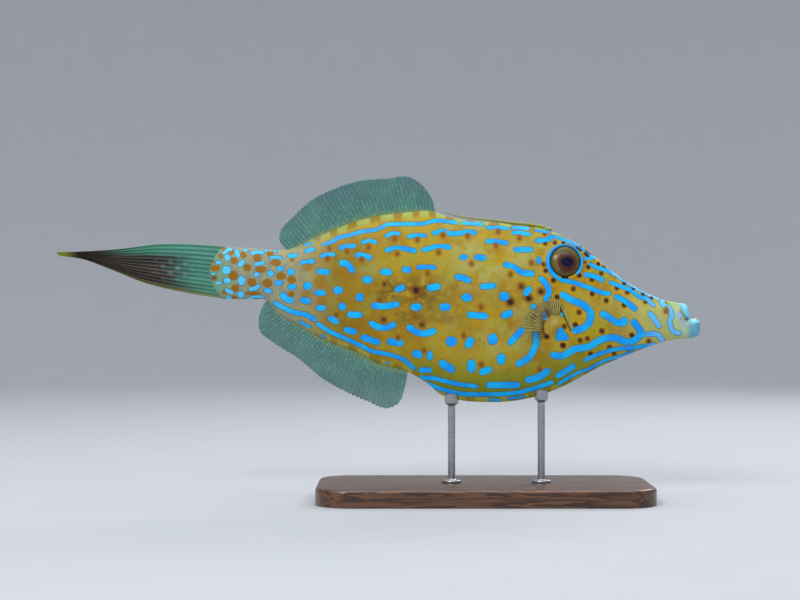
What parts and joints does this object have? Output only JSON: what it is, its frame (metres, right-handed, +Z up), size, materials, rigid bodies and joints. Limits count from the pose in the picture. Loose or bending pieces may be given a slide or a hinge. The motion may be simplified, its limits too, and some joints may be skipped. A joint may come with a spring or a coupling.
{
  "type": "scrawled filefish display model",
  "caption": "Life-size scrawled filefish swimming level, fins spread and tail folded to a point, on a flat display board with short rods.",
  "frame": {"origin": "under the middle of the model's box, on the underside of the stand's base", "axes": "+X towards the snout, +Z up, -Y out of the right flank"},
  "size_m": [0.5599, 0.13, 0.2821],
  "materials": {
    "skin": "satin skin, ochre with blue strokes and dark spots",
    "lips": "satin, pale",
    "teeth": "smooth, off-white",
    "eyes": "glossy, dark brown iris and near-black pupil",
    "fins": "translucent green-grey with pale rays",
    "tail_fin": "satin, dark brown with grey-green rays",
    "stand_wood": "dark stained, satin lacquer",
    "stand_steel": "satin brushed"
  },
  "bodies": {
    "root": {"head": "skin", "torso": "skin", "tail_peduncle": "skin", "lip_upper": "lips", "lip_lower": "lips", "teeth_lower": "teeth", "eye_right": "eyes", "eye_left": "eyes", "dorsal_spine": "skin", "dorsal_fin": "fins", "anal_fin": "fins", "caudal_fin": "tail_fin", "pectoral_fin_right": "fins", "pectoral_fin_left": "fins", "stand_base": "stand_wood", "stand_rod_front": "stand_steel", "stand_rod_rear": "stand_steel"}
  },
  "joints": []
}
